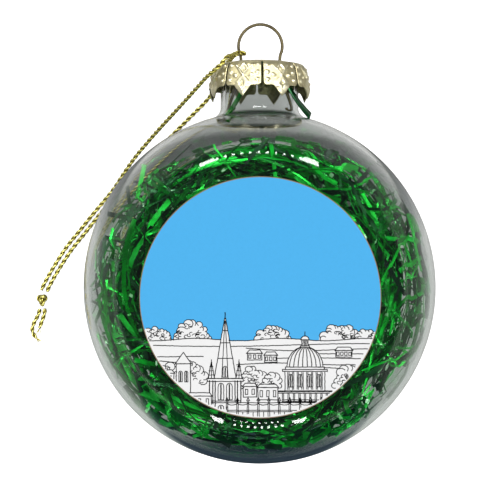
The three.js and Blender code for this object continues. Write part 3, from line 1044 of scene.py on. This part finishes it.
PETALS = 8
SLIT_ANGLE = math.radians(3)
SLIT_WIDTH = 0.5
CAP_SHEET = 0.3
PLATE_RADIUS = 9.0
PLATE_MIDDLE = 51.4
PLATE_EDGE = 50.75
SKIRT = [
    (9.0, 50.75, 0), (9.9, 50.45, 0), (10.5, 49.75, 0), (10.85, 48.7, 0), (11.15, 47.2, 0),
    (11.45, 45.6, 0), (11.6, 44.4, 0), (11.5, 43.3, 0), (11.2, 42.2, 0),
]
PETAL_COLUMNS = 40
PETAL_ROWS = 60
PETAL_RADIUS = 11
CAP_COLUMNS = PETALS * PETAL_COLUMNS
HOLE_INNER = 3.65
HOLE_OUTER = 5.35
PLATE_RADII = [1.2, 2.4, HOLE_INNER, 4.35, 4.85, HOLE_OUTER, 6.2, 7.2, 8.1, PLATE_RADIUS]
HOLE_HALF_ANGLE = math.radians(9)
SIDE_EDGE_DROP = 6.7
TIP_HALF_WIDTH = 1.9
TIP_DROP = 9.2


def petal_drop(across, half_width):
    """How far down the petal reaches, at a distance across from its middle."""
    away = abs(across)
    if away < TIP_HALF_WIDTH:
        share = away / TIP_HALF_WIDTH
        return TIP_DROP - (TIP_DROP - SIDE_EDGE_DROP) * (0.15 * share**2 + 0.85 * share)
    corner = 0.8
    past = max(0.0, away - (half_width - corner)) / corner
    return SIDE_EDGE_DROP - corner * (1 - math.sqrt(max(0.0, 1 - past**2)))


def ridge(distance, width):
    return math.exp(-((distance / width) ** 2))


def diamond(across, down, centre, half_width, half_height):
    """1 in the middle of a diamond, 0 on its edge, below 0 outside."""
    return 1 - abs(across) / half_width - abs(down - centre) / half_height


def relief(across, down):
    """Height of the stamped pattern on a petal."""
    upper = diamond(across, down, 3.0, 1.0, 1.4)
    height = 0.26 * ridge(upper, 0.2) + 0.12 * max(0.0, upper - 0.4)
    height += 0.55 * min(0.62, max(0.0, diamond(across, down, 6.9, 2.0, 2.5)))
    height -= 0.5 * max(0.0, diamond(across, down, 6.4, 0.75, 1.2))
    if abs(across) < 2.1 and down < 6.2:
        height += 0.18 * ridge(abs(abs(across) * 1.25 - abs(down - 4.45)), 0.3)
    for column, row in ((3.2, 2.1), (3.2, 3.8), (3.2, 5.5), (1.85, 4.4)):
        away = math.hypot(abs(across) - column, down - row)
        height += 0.3 * max(0.0, 1 - (away / 0.52) ** 2)
    return height + 0.1 * ridge(down - 0.9, 0.3)


def profile_at(along, places, route):
    """A point of the skirt's outline, and the outward direction there."""
    point, before, after = ([np.interp(along + step, places, route[:, axis]) for axis in (0, 1)]
                            for step in (0, -0.05, 0.05))
    ahead = [b - a for a, b in zip(before, after)]
    length = math.hypot(*ahead)
    return point, (-ahead[1] / length, ahead[0] / length)


def around_neck(radius, height, angle):
    return radius * math.sin(angle), height, HALF_THICKNESS + radius * math.cos(angle)


def add_plate(shape):
    """The domed top, with its two holes for the wire."""
    points, marks, faces = [(0, PLATE_MIDDLE, HALF_THICKNESS)], [0.6], []
    for radius in PLATE_RADII:
        height = PLATE_MIDDLE - (PLATE_MIDDLE - PLATE_EDGE) * (radius / PLATE_RADIUS) ** 2
        height += 0.12 * ridge(radius - 7.2, 0.5)
        for j in range(CAP_COLUMNS):
            points.append(around_neck(radius, height, SLIT_ANGLE + 2 * math.pi * j / CAP_COLUMNS))
            marks.append(0.65)
    for j in range(CAP_COLUMNS):
        k = (j + 1) % CAP_COLUMNS
        faces.append((0, 1 + j, 1 + k))
        middle = SLIT_ANGLE + 2 * math.pi * (j + 0.5) / CAP_COLUMNS
        by_leg = abs(abs(math.remainder(middle, 2 * math.pi)) - math.pi / 2) < HOLE_HALF_ANGLE
        for i, (low, high) in enumerate(zip(PLATE_RADII, PLATE_RADII[1:])):
            if not (by_leg and low >= HOLE_INNER and high <= HOLE_OUTER):
                near, far = 1 + i * CAP_COLUMNS, 1 + (i + 1) * CAP_COLUMNS
                faces.append((near + j, far + j, far + k, near + k))
    shape.add(points, faces, marks)


def add_petal(shape, petal, flare):
    """One stamped petal between two slits, hung from the rim of the plate."""
    route = catmull_rom(SKIRT, 10)
    places = travelled(route)
    rim = 1 + (len(PLATE_RADII) - 1) * CAP_COLUMNS
    half_width = PETAL_RADIUS * math.pi / PETALS - SLIT_WIDTH / 2
    upper = [rim + (petal * PETAL_COLUMNS + j) % CAP_COLUMNS for j in range(PETAL_COLUMNS + 1)]
    for i in range(1, PETAL_ROWS + 1):
        lower = []
        for j in range(PETAL_COLUMNS + 1):
            share = 2 * j / PETAL_COLUMNS - 1
            down = petal_drop(share * half_width, half_width) * i / PETAL_ROWS
            (radius, height), (out_r, out_y) = profile_at(down, places, route)
            open_slit = min(1.0, down / 0.25) * SLIT_WIDTH / 2
            half_angle = math.pi / PETALS - open_slit / radius
            angle = SLIT_ANGLE + math.pi / PETALS * (2 * petal + 1) + share * half_angle
            across = share * half_width * min(1.0, radius / PETAL_RADIUS)
            raised = relief(across, down) * min(1.0, down / 0.6)
            radius += raised * out_r + flare * (down / TIP_DROP) ** 2
            height += raised * out_y
            lower.append(len(shape.points))
            shape.points.append(around_neck(radius, height, angle))
            # The mark paints highlight on the raised pattern and shade in the recesses.
            shape.marks.append(min(1.0, 0.35 + 2.2 * raised))
        for j in range(PETAL_COLUMNS):
            shape.faces.append((upper[j], lower[j], lower[j + 1], upper[j + 1]))
        upper = lower


def cap_surface():
    """The cap's outer face: a domed plate whose rim runs on into eight slit and stamped petals."""
    rng = random.Random(11)
    shape = Shape()
    add_plate(shape)
    for petal in range(PETALS):
        add_petal(shape, petal, rng.uniform(-0.12, 0.3))
    return shape


def add_cap():
    """The stamped face, thickened inward into a sheet whose inside is darker and browner: painted shade."""
    cap = make_piece("crown_cap", cap_surface(), cap_material(), "cap", ["cap"])
    cap.data.materials.append(cap_inside_shade_material())
    sheet = cap.modifiers.new("sheet", "SOLIDIFY")
    sheet.thickness = CAP_SHEET * MM
    sheet.offset = -1
    # The sheet's inside takes the darker material: painted shade.
    sheet.material_offset = 1


add_cap()

# ---- hanger

RING_START = -25
SPRUNG_LEG = [
    (5.9, 40.7), (6.1, 40.1), (6.6, 39.8), (7.1, 40.1), (7.2, 40.9),
    (6.5, 43.2), (5.3, 46), (4.4, 48.3), (4.4, 50.4),
]


def add_hanger():
    """One springy wire: a ring above the cap, and two legs with hooked ends in the neck."""
    middle, height = RING_CENTRE
    ring = ellipse(0, height, RING_RADIUS, RING_RADIUS, RING_START, 180 - RING_START)
    flat = [*SPRUNG_LEG, *ring, *[(-x, y) for x, y in reversed(SPRUNG_LEG)]]
    route = evenly(catmull_rom([(middle + x, y, HALF_THICKNESS) for x, y in flat], 10), 0.3)
    shape = Shape()
    shape.tube(route, WIRE_RADIUS, 16)
    make_piece("wire_hanger", shape, wire_material(), "hanger", ["hanger_wire"])


def toward_neck(tree, parts, share, low, high):
    """How far Y is from low to high. Below 0 it is drawn back toward 0 to the left and right."""
    value, y = parts.outputs["X"], parts.outputs["Y"]
    steps = ("ABSOLUTE", 0), ("MULTIPLY", share), ("ADD", y), ("MINIMUM", 0), ("MAXIMUM", y)
    for operation, second in steps:
        step = add_node(tree, "ShaderNodeMath", {0: value, 1: second})
        step.operation = operation
        value = step.outputs["Value"]
    inputs = {"Value": value, "From Min": low, "From Max": high}
    return add_node(tree, "ShaderNodeMapRange", inputs).outputs["Result"]


add_hanger()

# ---- floor, light and rendering

SLATE = (0.035, 0.055, 0.075)


def add_floor():
    """A pale table: white where it is looked at, grey where glass and metal mirror or bend it."""
    bpy.ops.mesh.primitive_plane_add(size=6)
    floor = bpy.context.object
    floor.name = "floor"
    material, tree, shader = new_material("floor", roughness=0.9, specular=0)
    place = tree.nodes.new("ShaderNodeTexCoord").outputs["Object"]
    parts = add_node(tree, "ShaderNodeSeparateXYZ", {"Vector": place})
    card = ramp(tree, toward_neck(tree, parts, 0.45, -0.06, 0.09), [
        (0.13, SLATE), (0.16, (0.16, 0.2, 0.2)), (0.2, (0.62, 0.66, 0.62)), (0.5, (0.7, 0.71, 0.69)),
        (0.6, (0.28, 0.29, 0.29)), (0.655, (0.22, 0.23, 0.22)), (0.67, (0.78, 0.78, 0.76)), (1, 0.6),
    ])
    reach = add_node(tree, "ShaderNodeVectorMath", {0: place})
    reach.operation = "LENGTH"
    far = ramp(tree, reach.outputs["Value"], [(0.065, 1), (0.1, 0.3)])
    looked_at = tree.nodes.new("ShaderNodeLightPath").outputs["Is Camera Ray"]
    feed(tree, shader, {
        "Base Color": blend(tree, looked_at, shaded(tree, card, far), (0.93, 0.93, 0.93)),
        "Emission Color": blend(tree, looked_at, (0, 0, 0), (0.9, 0.9, 0.9)),
        "Emission Strength": 1,
    })
    floor.data.materials.append(material)


def add_world():
    """Even light for matt surfaces. What glass and metal mirror is a dark room with pale sides."""
    world = bpy.data.worlds.new("world")
    bpy.context.scene.world = world
    world.use_nodes = True
    world.cycles.sampling_method = "NONE"
    tree = world.node_tree
    place = tree.nodes.new("ShaderNodeTexCoord").outputs["Generated"]
    parts = add_node(tree, "ShaderNodeSeparateXYZ", {"Vector": place})
    low = ramp(tree, toward_neck(tree, parts, 0.2, -1, 1), [
        (0.05, SLATE), (0.14, (0.42, 0.47, 0.43)), (0.3, (0.72, 0.74, 0.7)),
        (0.6, (0.68, 0.68, 0.66)), (0.8, (0.22, 0.23, 0.23)), (1, (0.16, 0.17, 0.17)),
    ])
    high = ramp(tree, parts.outputs["Z"], [(0.12, 0.0), (0.4, 1.0)])
    room = blend(tree, high, low, (0.06, 0.07, 0.075))
    rays = tree.nodes.new("ShaderNodeLightPath").outputs
    seen = blend(tree, rays["Is Diffuse Ray"], room, (1.02, 1.02, 1.02))
    seen = blend(tree, rays["Is Camera Ray"], seen, (1, 1, 1))
    feed(tree, tree.nodes["Background"], {"Color": seen, "Strength": 1.0})


def add_lamp(name, place, size, radiance):
    """A flat lamp that faces the bauble. Only shiny surfaces show it."""
    data = bpy.data.lights.new(name, "AREA")
    data.shape = "RECTANGLE"
    data.size, data.size_y = (s * MM for s in size)
    data.energy = radiance * math.pi * data.size * data.size_y
    lamp = bpy.data.objects.new(name, data)
    lamp.location = Vector(place) * MM
    toward = Vector((0, 0, HALF_THICKNESS)) - Vector(place)
    lamp.rotation_euler = toward.to_track_quat("-Z", "Y").to_euler()
    lamp.visible_diffuse = False
    bpy.context.scene.collection.objects.link(lamp)
    return lamp


LAMP_HEIGHT = 400
LAMP_ROWS = (
    # distance along Y, half spread, number of lamps, size of a lamp
    (243, 80, 11, (5, 60)),
    (-238, 40, 8, (4.2, 60)),
    (-94, 14, 8, (1.1, 26)),
)
END_LAMPS = ((102, 243, (34, 170)), (-102, 243, (34, 120)), (61, -205, (19, 130)), (-61, -205, (17, 150)))
ROW_RADIANCE = 24
END_RADIANCE = 19
FOIL_LAMPS = (
    # number, size, radiance, sine of the lowest's elevation, first direction, whether matt tinsel shows it
    (6, 150, 2.4, 0.3, 0, False),
    (4, 140, 20, 0.4, 10, True),
    (4, 36, 100, 0.45, 115, False),
)
FOIL_LAMP_DISTANCE = 380
HIGHEST_RISE = 0.98
GOLDEN_ANGLE = math.pi * (3 - math.sqrt(5))


def add_row_lamps():
    """Rows of small bright lamps above and below the camera, with a broad one at the ends of two."""
    for row, (y, spread, count, size) in enumerate(LAMP_ROWS):
        for i in range(count):
            x = spread * (2 * i / (count - 1) - 1)
            add_lamp(f"row_{row}_{i}", (x, y, LAMP_HEIGHT), size, ROW_RADIANCE)
    for i, (x, y, size) in enumerate(END_LAMPS):
        add_lamp(f"row_end_{i}", (x, y, LAMP_HEIGHT), size, END_RADIANCE)


def pieces_named(collection, *starts):
    """A new collection of the pieces whose names start so."""
    found = bpy.data.collections.new(collection)
    for piece in bpy.data.objects:
        if piece.name.startswith(starts):
            found.objects.link(piece)
    return found


def add_foil_lamps():
    """Lamps spread over the whole sky that light what shines, but not the glass."""
    shiny = pieces_named("shiny", "tinsel_lane", "foil_", "crown_cap", "wire_", "gold_cord")
    foil_only = pieces_named("foil_only", "tinsel_lane", "foil_")
    for row, (count, size, radiance, lowest, first, for_foil) in enumerate(FOIL_LAMPS):
        for i in range(count):
            rise = lowest + (HIGHEST_RISE - lowest) * (i + 0.5) / count
            turn = math.radians(first) + i * GOLDEN_ANGLE
            out = math.sqrt(1 - rise**2)
            place = [FOIL_LAMP_DISTANCE * c for c in (out * math.cos(turn), out * math.sin(turn), rise)]
            lamp = add_lamp(f"foil_lamp_{row}_{i}", place, (size, size), radiance)
            lamp.visible_diffuse = for_foil
            lamp.light_linking.receiver_collection = foil_only if for_foil else shiny


def set_rendering():
    scene = bpy.context.scene
    scene.view_settings.view_transform = "Standard"
    scene.cycles.max_bounces = 14
    scene.cycles.transmission_bounces = 14
    scene.cycles.transparent_max_bounces = 16
    scene.cycles.glossy_bounces = 6
    scene.cycles.caustics_reflective = False
    scene.cycles.caustics_refractive = False
    scene.cycles.sample_clamp_indirect = 6
    scene.cycles.use_denoising = True


add_floor()
add_world()
add_row_lamps()
add_foil_lamps()
set_rendering()
